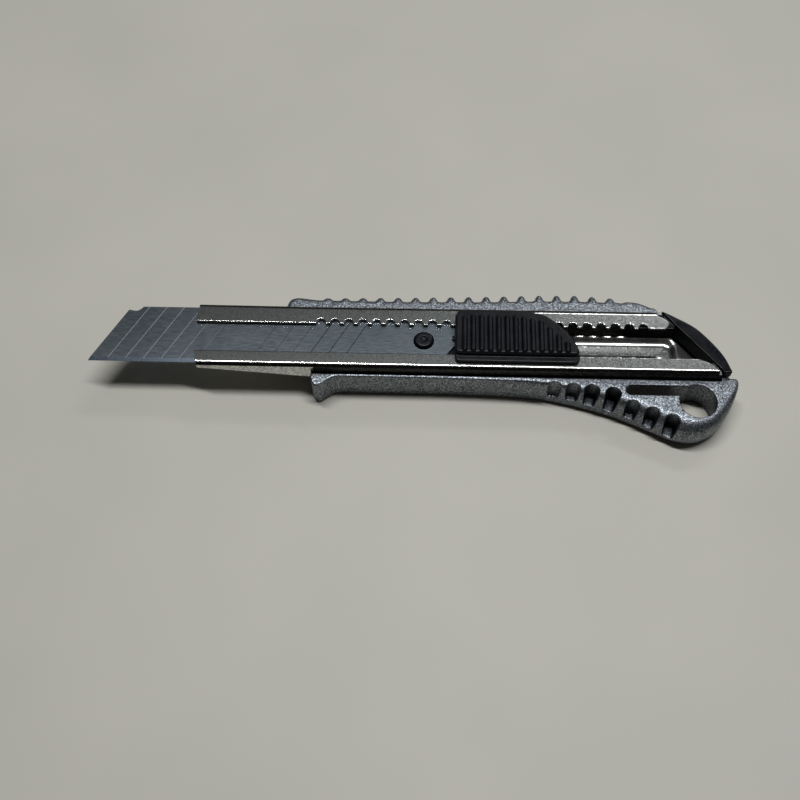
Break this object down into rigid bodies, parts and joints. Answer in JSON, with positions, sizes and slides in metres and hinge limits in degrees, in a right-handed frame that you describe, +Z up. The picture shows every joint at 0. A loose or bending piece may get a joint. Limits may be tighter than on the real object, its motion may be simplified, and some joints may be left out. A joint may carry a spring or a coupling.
{
  "type": "snap-off blade utility knife",
  "caption": "Cast metal utility knife with a steel blade channel, sliding thumb knob with notch lock, snap-off blade, ridged grip and lanyard slot.",
  "frame": {"origin": "bottom centre of the knife as it lies on its back with the blade out as in the picture", "axes": "+X from the blade tip to the end cap, +Y from the cutting edge to the ridged spine, +Z up through the thumb knob"},
  "size_m": [0.1794, 0.0434, 0.0168],
  "materials": {
    "cast_alloy": "sand-cast, fine sparkling grain",
    "plated_steel": "nickel plated, satin with bright bends",
    "blade_steel": "ground, slightly blue",
    "black_plastic": "moulded, half gloss"
  },
  "bodies": {
    "body": {"handle": "cast_alloy", "blade_rail": "plated_steel", "rail_rivet_front": "plated_steel", "rail_rivet_rear": "plated_steel"},
    "slider": {"blade_carrier": "black_plastic", "blade": "blade_steel"},
    "knob": {"thumb_knob": "black_plastic"},
    "lock": {"lock_spring": "plated_steel"},
    "cap": {"end_cap": "black_plastic"}
  },
  "joints": [
    {"name": "blade_slide", "type": "slide", "parent": "body", "child": "slider", "axis": [1, 0, 0], "range_m": [-0.03909, 0.03127]},
    {"name": "knob_play", "type": "slide", "parent": "slider", "child": "knob", "axis": [1, 0, 0], "range_m": [0, 0.0015], "stiffness_N_per_m": 600},
    {"name": "lock_release", "type": "hinge", "parent": "slider", "child": "lock", "pos_m": [0.03677, 0.00656, 0.0135], "axis": [0, 0, 1], "range_deg": [0, 9]},
    {"name": "cap_pull", "type": "slide", "parent": "body", "child": "cap", "axis": [1, 0, 0], "range_m": [0, 0.027]}
  ],
  "couplings": [
    {"joint": "lock_release", "follows": "knob_play", "rad_per_m": 69.8}
  ]
}
